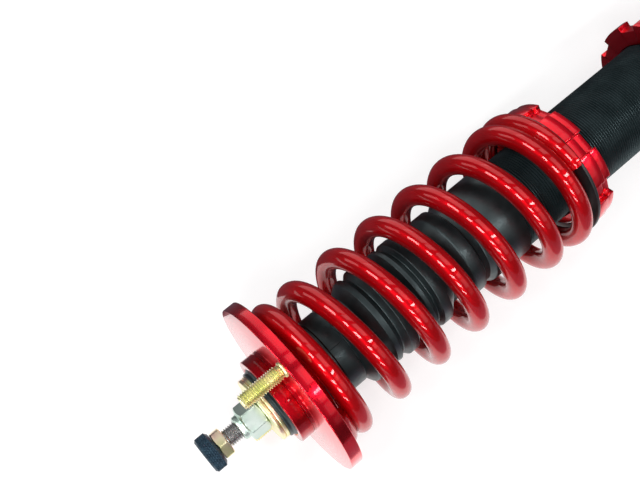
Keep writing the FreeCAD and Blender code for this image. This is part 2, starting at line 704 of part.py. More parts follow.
def mount_studs():
    """Two studs pressed in from below, their heads flush with the plate's underside."""
    studs = []
    for number, side in enumerate(("", "-")):
        head = cylinder(f"stud_head_{number}", "stud_head_radius", "stud_head_height", "plate_level")
        shoulder = cylinder(f"stud_shoulder_{number}", "shoulder_radius", "plate_thick + shoulder_rise",
                            "plate_level")
        shank = cylinder(f"stud_shank_{number}", "stud_radius", "stud_length - stud_tip", "plate_level")
        tip = doc.addObject("Part::Cone", f"stud_tip_{number}")
        bind(tip, Radius1="stud_radius", Radius2="stud_radius - stud_tip", Height="stud_tip")
        tip.setExpression("Placement.Base.z", bound("plate_level + stud_length - stud_tip"))
        for piece in (head, shoulder, shank, tip):
            piece.setExpression("Placement.Base.x", bound(f"{side}stud_circle"))
        studs.append(fuse(f"stud_{number}", head, shoulder, shank, tip))
    pair = doc.addObject("Part::Compound", "mount_studs")
    pair.Links = studs
    listed(pair, "mount_studs")


def mount_bushes():
    """Rubber bush halves, each with a nose in the mount's web."""
    bore = "sleeve_radius + run_gap"
    turned("bush_upper", [
        (bore, "-bush_nose_length"),
        ("bush_nose", "-bush_nose_length"),
        ("bush_nose", "0"),
        ("bush_radius", "0"),
        ("bush_radius", "bush_shoulder"),
        ("bush_radius - bush_waist", "bush_shoulder + bush_taper"),
        ("bush_radius - bush_waist", "bush_height - edge_break"),
        ("bush_radius - bush_waist - edge_break", "bush_height"),
        (bore, "bush_height"),
    ], "plate_level + web_high")
    depth = "(plate_level + web_low - stem_shoulder - washer_thick)"
    turned("bush_lower", [
        (bore, "bush_nose_length"),
        ("bush_nose", "bush_nose_length"),
        ("bush_nose", "0"),
        ("bush_radius", "0"),
        ("bush_radius", f"bush_taper * 3 - {depth}"),
        ("bush_radius - bush_waist", f"bush_taper * 2 - {depth}"),
        ("bush_radius - bush_waist", f"-{depth}"),
        (bore, f"-{depth}"),
    ], "plate_level + web_low")


# Spring and its lower seat


def helix(name, pitch, turns, level, angle):
    """Spring wire swept along a right-hand helix that starts at a level and a direction."""
    spine = doc.addObject("Part::Helix", f"{name}_path")
    bind(spine, Pitch=pitch, Height=f"({pitch}) * ({turns})", Radius="coil_radius")
    start = Placement(Vector(0, 0, size(level)), Rotation(Vector(0, 0, 1), size(angle)))
    spine.Placement = start
    section = doc.addObject("Part::Circle", f"{name}_section")
    bind(section, Radius="wire_radius")
    slope = math.degrees(math.atan2(size(pitch), 2 * math.pi * size("coil_radius")))
    across = Placement(Vector(size("coil_radius"), 0, 0), Rotation(Vector(1, 0, 0), 90 + slope))
    section.Placement = start.multiply(across)
    sweep = doc.addObject("Part::Sweep", name)
    doc.recompute()
    sweep.Sections = [section]
    sweep.Spine = (spine, ["Edge1"])
    sweep.Solid = True
    sweep.Frenet = True
    return sweep


def joint_ball(name, level, angle):
    """Round joint in the wire where a closed end meets the active turns."""
    ball = doc.addObject("Part::Sphere", name)
    bind(ball, Radius="wire_radius")
    turn = Rotation(Vector(0, 0, 1), size(angle))
    ball.Placement = Placement(Vector(0, 0, size(level)), turn).multiply(
        Placement(Vector(size("coil_radius"), 0, 0), Rotation()))
    return ball


def spring():
    """Coil spring with closed ends, ground flat on both seats."""
    middle = "(seat_level + plate_level) / 2"
    low = f"{middle} - active_half * coil_pitch"
    high = f"{middle} + active_half * coil_pitch"
    low_angle = "coil_angle - active_half * 360"
    high_angle = "coil_angle + active_half * 360"
    active = helix("spring_active", "coil_pitch", "active_half * 2", low, low_angle)
    foot = helix("spring_foot", "end_pitch", "end_turns", f"{low} - end_turns * end_pitch",
                 f"{low_angle} - end_turns * 360")
    head = helix("spring_head", "end_pitch", "end_turns", high, high_angle)
    balls = [joint_ball("spring_low_joint", low, low_angle), joint_ball("spring_high_joint", high, high_angle)]
    wire = fuse("spring_wire", foot, balls[0], active, balls[1], head)
    between = cylinder("spring_seats", "coil_radius + wire_radius * 2", "plate_level - seat_level", "seat_level")
    ground = doc.addObject("Part::Common", "spring_ground")
    ground.Base = wire
    ground.Tool = between
    listed(ground, "spring")


def spring_seat():
    """Thrust ring, perch collar and perch lock ring below the spring."""
    isolator = broken_ring_outline("lip_radius + 0.1", "isolator_radius", "isolator_thick")
    turned("spring_isolator", isolator, "seat_level - isolator_thick")
    collar_level = "seat_level - isolator_thick - collar_thick"
    top = "collar_thick + isolator_thick + perch_step"
    collar = turned("perch_collar", [
        ("thread_radius", "0"),
        ("perch_radius - edge_break", "0"),
        ("perch_radius", "edge_break"),
        ("perch_radius", "collar_thick - edge_break"),
        ("perch_radius - edge_break", "collar_thick"),
        ("lip_radius", "collar_thick"),
        ("lip_radius", f"{top} - edge_break * 2"),
        ("lip_radius - edge_break * 2", top),
        ("thread_radius", top),
    ], collar_level, "upper_slot_angle")
    cut_spanner_slots(collar, "perch_radius", "collar_thick")
    outline = broken_ring_outline("thread_radius", "ring_radius", "lock_thick")
    lock = turned("perch_lock_ring", outline, f"{collar_level} - lock_thick", "upper_slot_angle")
    cut_spanner_slots(lock, "ring_radius", "lock_thick")


def check_document():
    """Stop if any object of the document failed, or if a sub-part has no sound shape."""
    doc.recompute()
    for item in doc.Objects:
        if "Invalid" in item.State or "Error" in item.State:
            raise RuntimeError(f"{item.Name} failed: {item.State}")
    for part in subparts:
        if part.Shape.isNull() or not part.Shape.isValid() or not part.Shape.Solids:
            raise RuntimeError(f"{part.Label} has no sound shape")


def write_parts():
    """Write one STEP file for each sub-part."""
    os.makedirs("parts", exist_ok=True)
    for part in subparts:
        part.Shape.exportStep(f"parts/{part.Label}.step")
        print(part.Label, len(part.Shape.Solids), round(part.Shape.Volume))


fill_sheet()
lower_bracket()
bracket_socket()
lower_eye()
lower_lock_ring()
threaded_tube()
base_cap()
floating_piston()
seal_head()
piston_rod()
piston()
rod_stops()
dust_boot()
mount_clamp()
adjuster()
top_mount()
mount_studs()
mount_bushes()
spring()
spring_seat()
check_document()
write_parts()
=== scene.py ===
import json
import math

import bmesh
import bpy
import numpy as np
from mathutils import Matrix, Vector


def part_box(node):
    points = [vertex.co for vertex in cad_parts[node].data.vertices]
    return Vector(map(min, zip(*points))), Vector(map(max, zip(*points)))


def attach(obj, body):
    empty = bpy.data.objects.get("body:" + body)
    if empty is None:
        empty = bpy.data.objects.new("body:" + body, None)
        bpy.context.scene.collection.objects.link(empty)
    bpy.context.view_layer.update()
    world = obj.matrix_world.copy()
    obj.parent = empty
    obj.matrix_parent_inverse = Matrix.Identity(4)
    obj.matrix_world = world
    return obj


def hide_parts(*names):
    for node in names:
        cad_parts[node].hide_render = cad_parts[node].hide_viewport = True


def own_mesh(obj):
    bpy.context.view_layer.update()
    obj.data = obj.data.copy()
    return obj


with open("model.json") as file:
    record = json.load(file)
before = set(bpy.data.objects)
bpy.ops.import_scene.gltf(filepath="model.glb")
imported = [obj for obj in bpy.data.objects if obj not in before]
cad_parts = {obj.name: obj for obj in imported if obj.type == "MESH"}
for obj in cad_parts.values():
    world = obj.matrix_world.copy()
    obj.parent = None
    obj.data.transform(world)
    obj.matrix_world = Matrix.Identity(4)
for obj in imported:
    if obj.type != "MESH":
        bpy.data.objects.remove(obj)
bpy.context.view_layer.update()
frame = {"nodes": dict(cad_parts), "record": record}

# Coilover strut. Lengths in this script are millimetres until a mesh is made. +Z runs up the damper's axis.
MM = 0.001
TURN = 2 * math.pi
AROUND = 128            # columns round a turned piece

# Camera, as the damper's axis is seen: it rises to the right across the picture and also leans away.
RISE = math.radians(38.41)
LEAN = math.radians(14.57)
STUD_TURN = math.radians(-17)       # from the side of the axis that faces the camera to the near stud
AXIS_POINT = Vector((-27.8, 83.4, 447.4))   # right of, below and ahead of the camera, on the knob side
AXIS_POINT_LEVEL = 390.0            # that point's height above the lower eye
SENSOR = 36                         # width
LENS = 50.64

# Measures of the mount that its shape and the painted shade on its hub share
PLATE_THICKNESS = 7
HUB_RADIUS = 25


# Measures from the frame


def low(node):
    """Lowest level of a CAD node."""
    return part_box(node)[0].z / MM


def high(node):
    """Highest level of a CAD node."""
    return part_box(node)[1].z / MM


def radius_of(node):
    """Largest distance of a turned CAD node from the Z axis."""
    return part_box(node)[1].y / MM


# Meshes


def make_object(name, vertices, faces, sharp=35):
    """An object from vertices in millimetres, with smooth faces and edges sharp above an angle."""
    mesh = bpy.data.meshes.new(name)
    mesh.from_pydata([tuple(corner) for corner in np.asarray(vertices) * MM], [], faces)
    work = bmesh.new()
    work.from_mesh(mesh)
    bmesh.ops.remove_doubles(work, verts=work.verts, dist=0.002 * MM)
    bmesh.ops.dissolve_degenerate(work, edges=work.edges, dist=0.001 * MM)
    bmesh.ops.recalc_face_normals(work, faces=work.faces)
    work.to_mesh(mesh)
    work.free()
    mesh.shade_smooth()
    mesh.set_sharp_from_angle(angle=math.radians(sharp))
    piece = bpy.data.objects.new(name, mesh)
    bpy.context.scene.collection.objects.link(piece)
    return piece


def grid_faces(rows, columns, closed_rows):
    """Quads of a grid that closes on itself across its columns, and across its rows if asked."""
    faces = []
    for row in range(rows if closed_rows else rows - 1):
        following = (row + 1) % rows
        for column in range(columns):
            side = (column + 1) % columns
            faces.append((row * columns + column, row * columns + side,
                          following * columns + side, following * columns + column))
    return faces


def rounded(outline, steps=4):
    """A closed outline of (radius, level, fillet) corners with each corner turned into an arc."""
    points = []
    count = len(outline)
    for index, (across, up, fillet) in enumerate(outline):
        corner = Vector((across, up))
        if fillet <= 0:
            points.append((across, up))
            continue
        before = Vector(outline[index - 1][:2]) - corner
        after = Vector(outline[(index + 1) % count][:2]) - corner
        half = before.angle(after) / 2
        reach = min(fillet / math.tan(half), before.length * 0.49, after.length * 0.49)
        start = corner + before.normalized() * reach
        end = corner + after.normalized() * reach
        for step in range(steps + 1):
            part = step / steps
            bend = start.lerp(corner, part).lerp(corner.lerp(end, part), part)
            points.append((bend.x, bend.y))
    return points


def ring(radius, level, columns):
    """Points round Z. The radius and the level may be arrays, with a value for each column."""
    angles = np.arange(columns) * TURN / columns
    return np.column_stack((radius * np.cos(angles), radius * np.sin(angles), np.full(columns, level)))


def lathe(name, outline, closed=True, around=AROUND, sharp=35):
    """A piece turned about Z from its outline of (radius, level) points."""
    rings = [ring(radius, level, around) for radius, level in outline]
    return make_object(name, np.vstack(rings), grid_faces(len(outline), around, closed), sharp)


def turned(name, outline, around=AROUND, sharp=35):
    """A piece turned about Z from a closed outline with fillets."""
    return lathe(name, rounded(outline), True, around, sharp)


# Materials

NOISE_RANGE = (0.3, 0.7)    # where most of a noise lies


def new_material(name, colour, metallic, roughness):
    """A material with a principled shader, and what its nodes are added with."""
    material = bpy.data.materials.new(name)
    material.use_nodes = True
    nodes = material.node_tree.nodes
    links = material.node_tree.links
    shader = nodes["Principled BSDF"]
    shader.inputs["Base Color"].default_value = (*colour, 1)
    shader.inputs["Metallic"].default_value = metallic
    shader.inputs["Roughness"].default_value = roughness
    return material, nodes, links, shader


def place_vector(nodes):
    """Object coordinates."""
    return nodes.new("ShaderNodeTexCoord").outputs["Object"]


def turned_vector(nodes, links):
    """Coordinates that are the same all the way round a turned piece: distance from the axis, and level."""
    split = nodes.new("ShaderNodeSeparateXYZ")
    flat = nodes.new("ShaderNodeCombineXYZ")
    length = nodes.new("ShaderNodeVectorMath")
    length.operation = "LENGTH"
    out = nodes.new("ShaderNodeCombineXYZ")
    links.new(place_vector(nodes), split.inputs[0])
    links.new(split.outputs["X"], flat.inputs["X"])
    links.new(split.outputs["Y"], flat.inputs["Y"])
    links.new(flat.outputs[0], length.inputs[0])
    links.new(length.outputs["Value"], out.inputs["X"])
    links.new(split.outputs["Z"], out.inputs["Y"])
    return out.outputs[0]


def noise(nodes, links, vector, scale, detail=3.0):
    """Noise at a scale over a vector."""
    texture = nodes.new("ShaderNodeTexNoise")
    texture.inputs["Scale"].default_value = scale
    texture.inputs["Detail"].default_value = detail
    links.new(vector, texture.inputs["Vector"])
    return texture.outputs["Fac"]


def ramp_between(nodes, links, value, source, result):
    """A value that goes from one result to the other while the input crosses a range."""
    ramp = nodes.new("ShaderNodeMapRange")
    ramp.inputs["From Min"].default_value, ramp.inputs["From Max"].default_value = source
    ramp.inputs["To Min"].default_value, ramp.inputs["To Max"].default_value = result
    links.new(value, ramp.inputs["Value"])
    return ramp.outputs["Result"]


def math_node(nodes, links, operation, first, second):
    """Two values combined."""
    node = nodes.new("ShaderNodeMath")
    node.operation = operation
    links.new(first, node.inputs[0])
    links.new(second, node.inputs[1])
    return node.outputs[0]


def spread(nodes, links, value, target, lowest, highest):
    """Drive a number on the shader between two values, from noise that sits about one half."""
    links.new(ramp_between(nodes, links, value, NOISE_RANGE, (lowest, highest)), target)


def tint(nodes, links, value, target, stops):
    """Drive a colour from noise through a ramp of (position, colour) stops."""
    ramp = nodes.new("ShaderNodeValToRGB")
    while len(ramp.color_ramp.elements) < len(stops):
        ramp.color_ramp.elements.new(0.5)
    for element, (position, colour) in zip(ramp.color_ramp.elements, stops):
        element.position = position
        element.color = (*colour, 1)
    links.new(value, ramp.inputs["Fac"])
    links.new(ramp.outputs["Color"], target)


def bumps(nodes, links, height, shader, strength, distance, coat=False):
    """Raise the surface by a height in metres."""
    bump = nodes.new("ShaderNodeBump")
    bump.inputs["Strength"].default_value = strength
    bump.inputs["Distance"].default_value = distance
    links.new(height, bump.inputs["Height"])
    links.new(bump.outputs["Normal"], shader.inputs["Coat Normal" if coat else "Normal"])


def red_spring_coat():
    """Candy red powder coat: a red that glows towards the light, under a clear skin with a faint peel."""
    material, nodes, links, shader = new_material("red_spring_coat", (0.52, 0.002, 0.006), 0.65, 0.38)
    shader.inputs["Specular IOR Level"].default_value = 0.0
    shader.inputs["Coat Weight"].default_value = 0.9
    shader.inputs["Coat Roughness"].default_value = 0.05
    vector = place_vector(nodes)
    tint(nodes, links, noise(nodes, links, vector, 60), shader.inputs["Base Color"],
         [(0.3, (0.46, 0.001, 0.004)), (0.7, (0.56, 0.002, 0.007))])
    spread(nodes, links, noise(nodes, links, vector, 500), shader.inputs["Roughness"], 0.34, 0.42)
    bumps(nodes, links, noise(nodes, links, vector, 320, 1.0), shader, 0.02, 0.0006, coat=True)
    return material


def hub_painted_shade(nodes, links, radius, level):
    """Painted shade for the mount's hub: a value that is below zero on the hub and zero elsewhere."""
    plate = (low("mount_studs") + PLATE_THICKNESS) * MM
    inside = ((HUB_RADIUS + 0.1) * MM, (HUB_RADIUS + 0.5) * MM)
    return math_node(nodes, links, "MULTIPLY", ramp_between(nodes, links, radius, inside, (-0.6, 0.0)),
                     ramp_between(nodes, links, level, (plate, plate + 0.2 * MM), (0.0, 1.0)))


def red_anodised():
    """Turned aluminium, anodised red, with faint rings from the lathe. The mount's rim has more polish, and
    its hub has a painted shade that makes its red darker.
    """
    material, nodes, links, shader = new_material("red_anodised", (0.86, 0.007, 0.023), 1.0, 0.25)
    shader.inputs["Anisotropic"].default_value = 0.5
    shader.inputs["Anisotropic Rotation"].default_value = 0.25
    shader.inputs["Coat Weight"].default_value = 1.0
    shader.inputs["Coat IOR"].default_value = 1.32
    shader.inputs["Coat Roughness"].default_value = 0.05
    tangent = nodes.new("ShaderNodeTangent")
    tangent.direction_type = "RADIAL"
    tangent.axis = "Z"
    links.new(tangent.outputs["Tangent"], shader.inputs["Tangent"])
    rings = turned_vector(nodes, links)
    split = nodes.new("ShaderNodeSeparateXYZ")
    links.new(rings, split.inputs[0])
    radius, level = split.outputs["X"], split.outputs["Y"]
    # Painted shade: the hub's red is darkened, on top of the random tone from the noise
    painted_hub_shade = hub_painted_shade(nodes, links, radius, level)
    shade = math_node(nodes, links, "ADD", noise(nodes, links, rings, 240), painted_hub_shade)
    # The darkest stop is there for the painted shade on the hub
    tint(nodes, links, shade, shader.inputs["Base Color"],
         [(0.1, (0.50, 0.003, 0.011)), (0.3, (0.80, 0.005, 0.018)), (0.7, (0.92, 0.009, 0.028))])
    fine = noise(nodes, links, rings, 2600, 2.0)
    rim = (radius_of("top_mount") * MM - 0.9 * MM, radius_of("top_mount") * MM - 0.3 * MM)
    grain = ramp_between(nodes, links, fine, NOISE_RANGE, (0.31, 0.38))
    polish = ramp_between(nodes, links, radius, rim, (0.0, -0.10))
    links.new(math_node(nodes, links, "ADD", grain, polish), shader.inputs["Roughness"])
    bumps(nodes, links, fine, shader, 0.012, 0.00005)
    return material


def black_coated_steel():
    """Black coated steel of the threaded tube, a little lighter in random patches."""
    material, nodes, links, shader = new_material("black_coated_steel", (0.014, 0.022, 0.024), 0.35, 0.34)
    shader.inputs["Specular Tint"].default_value = (0.72, 0.96, 1.0, 1)
    vector = place_vector(nodes)
    tint(nodes, links, noise(nodes, links, vector, 90), shader.inputs["Base Color"],
         [(0.3, (0.011, 0.018, 0.020)), (0.72, (0.024, 0.036, 0.039))])
    spread(nodes, links, noise(nodes, links, vector, 400), shader.inputs["Roughness"], 0.27, 0.42)
    return material


def black_rubber():
    """Moulded rubber: dull black with a fine grain and a faint bloom."""
    material, nodes, links, shader = new_material("black_rubber", (0.007, 0.011, 0.012), 0.0, 0.36)
    shader.inputs["Specular IOR Level"].default_value = 0.8
    shader.inputs["Specular Tint"].default_value = (0.78, 0.97, 1.0, 1)
    vector = place_vector(nodes)
    tint(nodes, links, noise(nodes, links, vector, 55), shader.inputs["Base Color"],
         [(0.35, (0.004, 0.007, 0.008)), (0.75, (0.011, 0.016, 0.017))])
    spread(nodes, links, noise(nodes, links, vector, 260), shader.inputs["Roughness"], 0.30, 0.42)
    bumps(nodes, links, noise(nodes, links, vector, 2400), shader, 0.06, 0.0001)
    return material


def black_plastic():
    """Moulded black plastic with a fine grain."""
    material, nodes, links, shader = new_material("black_plastic", (0.014, 0.015, 0.016), 0.0, 0.38)
    vector = place_vector(nodes)
    spread(nodes, links, noise(nodes, links, vector, 300), shader.inputs["Roughness"], 0.3, 0.46)
    bumps(nodes, links, noise(nodes, links, vector, 1800), shader, 0.12, 0.0002)
    return material


def yellow_zinc():
    """Yellow chromated zinc plate: pale gold that drifts towards pink and green."""
    material, nodes, links, shader = new_material("yellow_zinc", (0.80, 0.72, 0.38), 1.0, 0.32)
    vector = place_vector(nodes)
    tint(nodes, links, noise(nodes, links, vector, 110, 1.0), shader.inputs["Base Color"],
         [(0.3, (0.82, 0.82, 0.40)), (0.5, (0.95, 0.90, 0.50)), (0.62, (0.96, 0.84, 0.57)),
          (0.74, (0.90, 0.64, 0.52))])
    spread(nodes, links, noise(nodes, links, vector, 300), shader.inputs["Roughness"], 0.29, 0.36)
    bumps(nodes, links, noise(nodes, links, vector, 400), shader, 0.03, 0.00005)
    return material


def bright_zinc():
    """Bright zinc plate: silver with a cold green cast."""
    material, nodes, links, shader = new_material("bright_zinc", (0.60, 0.72, 0.65), 1.0, 0.34)
    vector = place_vector(nodes)
    tint(nodes, links, noise(nodes, links, vector, 120, 1.0), shader.inputs["Base Color"],
         [(0.3, (0.54, 0.69, 0.60)), (0.7, (0.70, 0.80, 0.75))])
    spread(nodes, links, noise(nodes, links, vector, 300), shader.inputs["Roughness"], 0.31, 0.38)
    bumps(nodes, links, noise(nodes, links, vector, 400), shader, 0.05, 0.0001)
    return material


def knob_black():
    """Black anodised aluminium with a cold, bluish cast."""
    material, nodes, links, shader = new_material("knob_black", (0.012, 0.034, 0.058), 0.6, 0.36)
    vector = place_vector(nodes)
    tint(nodes, links, noise(nodes, links, vector, 400), shader.inputs["Base Color"],
         [(0.3, (0.009, 0.026, 0.046)), (0.72, (0.026, 0.066, 0.100))])
    spread(nodes, links, noise(nodes, links, vector, 1500), shader.inputs["Roughness"], 0.28, 0.46)
    return material


def hard_chrome():
    """Ground and chromed rod: mirror with grinding marks round it."""
    material, nodes, links, shader = new_material("hard_chrome", (0.80, 0.81, 0.82), 1.0, 0.1)
    fine = noise(nodes, links, turned_vector(nodes, links), 5000, 2.0)
    spread(nodes, links, fine, shader.inputs["Roughness"], 0.06, 0.16)
    bumps(nodes, links, fine, shader, 0.04, 0.0001)
    return material


def machined(name, first, second, roughness):
    """Plain turned metal between two close colours."""
    material, nodes, links, shader = new_material(name, first, 1.0, roughness)
    rings = turned_vector(nodes, links)
    fine = noise(nodes, links, rings, 2800, 2.0)
    tint(nodes, links, noise(nodes, links, rings, 300), shader.inputs["Base Color"],
         [(0.3, first), (0.7, second)])
    spread(nodes, links, fine, shader.inputs["Roughness"], roughness - 0.06, roughness + 0.08)
    bumps(nodes, links, fine, shader, 0.15, 0.0001)
    return material


def plain_steel():
    """Turned steel."""
    return machined("plain_steel", (0.42, 0.42, 0.42), (0.55, 0.55, 0.54), 0.3)


def plain_aluminium():
    """Turned aluminium."""
    return machined("plain_aluminium", (0.72, 0.72, 0.73), (0.82, 0.82, 0.82), 0.28)


def urethane():
    """Foamed polyurethane: amber, dull and full of fine pores."""
    material, nodes, links, shader = new_material("urethane", (0.62, 0.47, 0.2), 0.0, 0.6)
    vector = place_vector(nodes)
    tint(nodes, links, noise(nodes, links, vector, 220), shader.inputs["Base Color"],
         [(0.3, (0.52, 0.38, 0.15)), (0.7, (0.70, 0.55, 0.26))])
    bumps(nodes, links, noise(nodes, links, vector, 1800), shader, 0.3, 0.0003)
    return material


def nylon():
    """Milky nylon."""
    material, nodes, links, shader = new_material("nylon", (0.8, 0.82, 0.84), 0.0, 0.4)
    shader.inputs["Subsurface Weight"].default_value = 0.15
    vector = place_vector(nodes)
    tint(nodes, links, noise(nodes, links, vector, 300), shader.inputs["Base Color"],
         [(0.3, (0.74, 0.77, 0.80)), (0.7, (0.86, 0.88, 0.90))])
    return material


MATERIALS = {make.__name__: make() for make in (
    red_spring_coat, red_anodised, black_coated_steel, black_rubber, black_plastic, yellow_zinc, bright_zinc,
    knob_black, hard_chrome, plain_steel, plain_aluminium, urethane, nylon)}


def finish_piece(piece, slot, body, *nodes):
    """Give a piece its material and body, and let it stand for CAD nodes."""
    piece.data.materials.clear()
    piece.data.materials.append(MATERIALS[slot])
    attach(piece, body)
    if nodes:
        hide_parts(*nodes)
    return piece


def finish_cad_nodes():
    """Give every CAD node the material of its slot."""
    for row in frame["record"]["subparts"]:
        node = frame["nodes"][row["node"]]
        node.data.materials.clear()
        node.data.materials.append(MATERIALS[row["material_slot"]])


# Threads


def thread_rows(major, pitch, bottom, top, chamfer, around):
    """Rows of a helical thread: each row's points stand one column further along the helix."""
    depth = 0.6 * pitch
    # One groove: the part of the pitch gone by, and the part of the depth cut
    shape = [(0.0, 0.0), (0.12, 0.0), (0.44, 1.0), (0.62, 1.0)]
    turns = math.ceil((top - bottom) / pitch) + 2
    end_radius = major - chamfer
    rows = []
    for turn in range(-1, turns):
        for along, cut in shape:
            level = bottom + pitch * (turn - 1 + along) + pitch * np.arange(around) / around
            radius = np.full(around, major - depth * cut)
            radius = np.minimum(radius, end_radius + np.maximum(level - bottom, 0))
            radius = np.minimum(radius, end_radius + np.maximum(top - level, 0))
            outside = (level <= bottom) | (level >= top)
            radius[outside] = end_radius
            rows.append(ring(radius, np.clip(level, bottom, top), around))
    return rows, len(shape)


def threaded(name, major, pitch, bottom, top, chamfer, closing, around=72, sharp=50):
    """A threaded cylinder. closing, of (radius, level) points, takes its outline from top to bottom."""
    rows, step = thread_rows(major, pitch, bottom, top, chamfer, around)
    vertices = list(np.vstack(rows))
    faces = []
    for row in range(len(rows) - 1):
        for column in range(around):
            side = column + 1
            wrap = step if side == around else 0
            if row + 1 + wrap >= len(rows):
                continue
            side %= around
            faces.append((row * around + column, (row + wrap) * around + side,
                          (row + 1 + wrap) * around + side, (row + 1) * around + column))
    outline = [(major - chamfer, top), *closing, (major - chamfer, bottom)]
    first = len(vertices)
    for radius, level in outline:
        vertices.extend(ring(radius, level, around))
    for face in grid_faces(len(outline), around, False):
        faces.append(tuple(first + corner for corner in face))
    return make_object(name, vertices, faces, sharp)


# Spring and boot


SPRING_TURNS = 3.957        # turns on each side of the spring's middle
SPRING_ANGLE = -38.6        # direction of the wire at the spring's middle, in degrees
ACTIVE_PITCH = 27.3
ACTIVE_TURNS = 2.65         # turns of steady pitch on each side of the middle
GROUND_TURNS = 3.4          # turns from the middle at which the wire starts to run into its seat
GROUND_DEPTH = 5.4          # how much further it has run into the seat at its tip
CLOSED_DEPTH = 0.35         # how far past its seat the closed turn levels out, without the tip's own rise
WIRE = 5.5                  # radius
WIRE_ROWS = 900
WIRE_COLUMNS = 40


def wire_level(turn, half_height):
    """Height of the wire's centre above the spring's middle: steady pitch, then a closed end."""
    side = abs(turn)
    flat = half_height - WIRE + CLOSED_DEPTH
    end = ACTIVE_PITCH * ACTIVE_TURNS
    if side <= ACTIVE_TURNS:
        height = ACTIVE_PITCH * side
    else:
        reach = side - ACTIVE_TURNS
        height = end + (flat - end) * (1 - math.exp(-ACTIVE_PITCH * reach / (flat - end)))
    tip = max(side - GROUND_TURNS, 0.0) / (SPRING_TURNS - GROUND_TURNS)
    return math.copysign(height + GROUND_DEPTH * tip ** 1.6, turn)


def wire_path(coil, half_height):
    """The wire's centres, and its outward and upward directions at each of them."""
    turns = np.linspace(-SPRING_TURNS, SPRING_TURNS, WIRE_ROWS)
    heights = np.array([wire_level(turn, half_height) for turn in turns])
    angles = np.radians(SPRING_ANGLE) + TURN * turns
    centres = np.column_stack((coil * np.cos(angles), coil * np.sin(angles), heights))
    tangents = np.gradient(centres, axis=0)
    tangents /= np.linalg.norm(tangents, axis=1)[:, None]
    outward = np.column_stack((np.cos(angles), np.sin(angles), np.zeros(WIRE_ROWS)))
    upward = np.cross(outward, tangents)
    upward /= np.linalg.norm(upward, axis=1)[:, None]
    upward *= np.sign(upward[:, 2])[:, None]
    return centres, outward, upward


def wire_ring(centre, outward, upward, radius, coil, half_height):
    """Points round the wire. Those past a seat are brought back to it, within the ground face."""
    section = np.arange(WIRE_COLUMNS) * TURN / WIRE_COLUMNS
    points = centre + radius * (np.outer(np.cos(section), outward) + np.outer(np.sin(section), upward))
    beyond = abs(points[:, 2]) > half_height
    chord = math.sqrt(max(WIRE ** 2 - (half_height - abs(centre[2])) ** 2, 0.01))
    across = points @ outward - coil
    limited = np.clip(across, -chord, chord)
    points[beyond] += np.outer((limited - across)[beyond], outward)
    points[:, 2] = np.clip(points[:, 2], -half_height, half_height)
    return points


def spring():
    """Coil spring swept along its helix, with ends ground flat on their seats."""
    bottom, top = low("spring"), high("spring")
    half_height = (top - bottom) / 2
    coil = radius_of("spring") - WIRE
    vertices = []
    for row, place in enumerate(zip(*wire_path(coil, half_height))):
        radius = WIRE if 0 < row < WIRE_ROWS - 1 else WIRE * 0.94
        vertices.extend(wire_ring(*place, radius, coil, half_height) + (0, 0, (bottom + top) / 2))
    faces = grid_faces(WIRE_ROWS, WIRE_COLUMNS, False)
    faces.append(tuple(range(WIRE_COLUMNS)))
    faces.append(tuple((WIRE_ROWS - 1) * WIRE_COLUMNS + column for column in reversed(range(WIRE_COLUMNS))))
    piece = make_object("coil_spring", vertices, faces, 40)
    finish_piece(piece, "red_spring_coat", "spring_seat", "spring")
    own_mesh(piece)


COLLAR_DEPTH = 9.8          # the boot's collar ends this far below its upper edge
BOOT_WALL = 0.9
# Outside of the boot below its collar: radius, depth below the upper edge, and fillet
BOOT_FOLDS = (
    (20.6, COLLAR_DEPTH, 0), (20.6, 10.2, 0.5), (26.3, 13.6, 0.8), (26.9, 15.4, 0.5), (20.8, 20.2, 1.2),
    (20.8, 22.4, 1.2), (25.4, 27.6, 0.4), (25.9, 30.6, 0.4), (23.4, 33.3, 0.6), (26.8, 36.4, 0.5),
    (26.9, 41.4, 0.8), (20.8, 46.4, 1.2), (20.8, 49.0, 1.2), (26.2, 52.3, 0.6), (26.5, 54.6, 0.5),
    (23.6, 57.6, 0.6), (26.7, 59.6, 0.5), (26.7, 65.0, 0.8), (21.2, 70.6, 1.2), (21.2, 77.0, 1.2),
    (25.4, 82.6, 0.5), (25.7, 83.4, 0.4), (25.7, 90.0, 0.4), (23.6, 91.4, 0.8), (23.6, 95.0, 0.8),
    (26.2, 97.6, 2.0),
)


def dust_boot():
    """Ribbed boot with sharp-edged folds and a smooth skirt over the tube, below the collar that holds it."""
    bottom, top = low("dust_boot"), high("dust_boot")
    shell = [(radius, top - depth, fillet) for radius, depth, fillet in BOOT_FOLDS] + [(26.3, bottom, 0.3)]
    lining = [(radius - BOOT_WALL, level, fillet) for radius, level, fillet in reversed(shell)]
    piece = lathe("bellows_boot", rounded(shell + lining, 5), True, 144, 55)
    finish_piece(piece, "black_rubber", "damper_body", "dust_boot")
    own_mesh(piece)
    boot_collar(top)


def boot_collar(top):
    """The boot's stiff collar, which stays with the carrier inside it, and its moulding ridges."""
    foot = top - COLLAR_DEPTH + 0.02
    collar = turned("boot_collar", [
        (21.9, top, 0.5), (21.9, top - 9.4, 0.3), (21.0, foot, 0.1), (19.7, foot, 0), (19.7, top - 8.4, 0.1),
        (20.95, top - 8.0, 0.2), (20.95, top, 0.2)], 144, 55)
    finish_piece(collar, "black_rubber", "piston_rod")
    finish_piece(parting_ridge(21.7, top - 9.2, top - 0.5), "black_rubber", "piston_rod")


